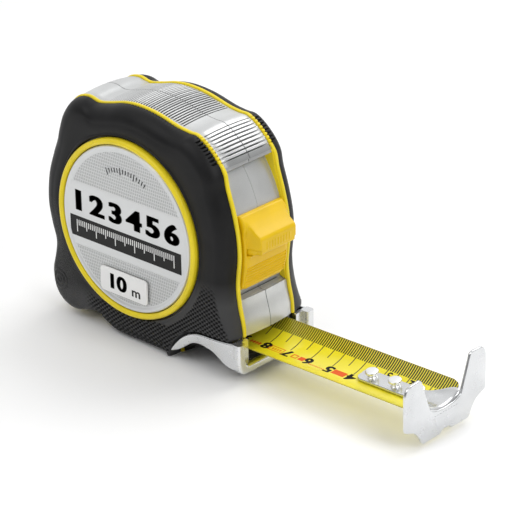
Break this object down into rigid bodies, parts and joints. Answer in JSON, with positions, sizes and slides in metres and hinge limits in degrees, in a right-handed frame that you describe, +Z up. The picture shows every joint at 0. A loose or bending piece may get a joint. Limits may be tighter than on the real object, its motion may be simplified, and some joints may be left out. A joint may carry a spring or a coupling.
{
  "type": "tape measure",
  "caption": "Pocket tape measure with rubber side grips, a sliding thumb lock, a chrome mouth bracket and a riveted end hook on a partly drawn yellow blade.",
  "frame": {"origin": "on the flat sole, straight below the spool axle, on the seam between the case halves", "axes": "+X the way the blade comes out, +Y away from the labelled side, +Z up"},
  "size_m": [0.1787, 0.0511, 0.0934],
  "materials": {
    "silver_plastic": "metallic silver moulded plastic with fine ribs",
    "dial_silver": "metallic silver disc with a fine hatch and a smooth middle band",
    "yellow_plastic": "satin yellow bead",
    "button_yellow": "glossy yellow with fine grip ribs",
    "black_rubber": "satin black overmould, knurled low down",
    "black_plastic": "plain moulded",
    "white_print": "white plate with black numerals",
    "bright_chrome": "polished",
    "plain_steel": "plain",
    "blade_lacquer": "glossy yellow lacquer with black graduations"
  },
  "bodies": {
    "case": {"case_shell_near": "silver_plastic", "case_shell_far": "silver_plastic", "trim_near": "yellow_plastic", "trim_far": "yellow_plastic", "grip_near": "black_rubber", "grip_far": "black_rubber", "dial_ring_near": "yellow_plastic", "dial_ring_far": "yellow_plastic", "dial_disc_near": "dial_silver", "dial_disc_far": "dial_silver", "length_plate": "white_print", "mouth_bracket": "bright_chrome", "mouth_guide": "black_rubber", "belt_clip": "plain_steel", "clip_screw": "plain_steel", "axle_post": "plain_steel", "lock_spring": "plain_steel", "case_screw_1": "plain_steel", "case_screw_2": "plain_steel", "case_screw_3": "plain_steel", "case_screw_4": "plain_steel"},
    "spool": {"spool_drum": "black_plastic", "drum_cap": "black_plastic", "power_spring": "plain_steel", "blade_coil": "blade_lacquer"},
    "blade": {"blade": "blade_lacquer", "hook_rivet_1": "plain_steel", "hook_rivet_2": "plain_steel", "hook_rivet_3": "plain_steel"},
    "hook": {"end_hook": "bright_chrome"},
    "lock": {"lock_button": "button_yellow", "lock_carrier": "black_plastic", "lock_pad": "black_rubber"}
  },
  "joints": [
    {"name": "blade_slide", "type": "slide", "parent": "case", "child": "blade", "axis": [0.9999, 0, 0.0131], "range_m": [-0.0759, 0.01]},
    {"name": "spool_spin", "type": "hinge", "parent": "case", "child": "spool", "pos_m": [0, 0, 0.047], "axis": [0, -1, 0], "range_deg": [-142, 20]},
    {"name": "hook_float", "type": "slide", "parent": "blade", "child": "hook", "axis": [0.9999, 0, 0.0131], "range_m": [-0.0005, 0.0005]},
    {"name": "lock_slide", "type": "hinge", "parent": "case", "child": "lock", "pos_m": [-0.003, 0, 0.047], "axis": [0, -1, 0], "range_deg": [0, 12]}
  ],
  "couplings": [
    {"joint": "spool_spin", "follows": "blade_slide", "rad_per_m": 32.258}
  ]
}
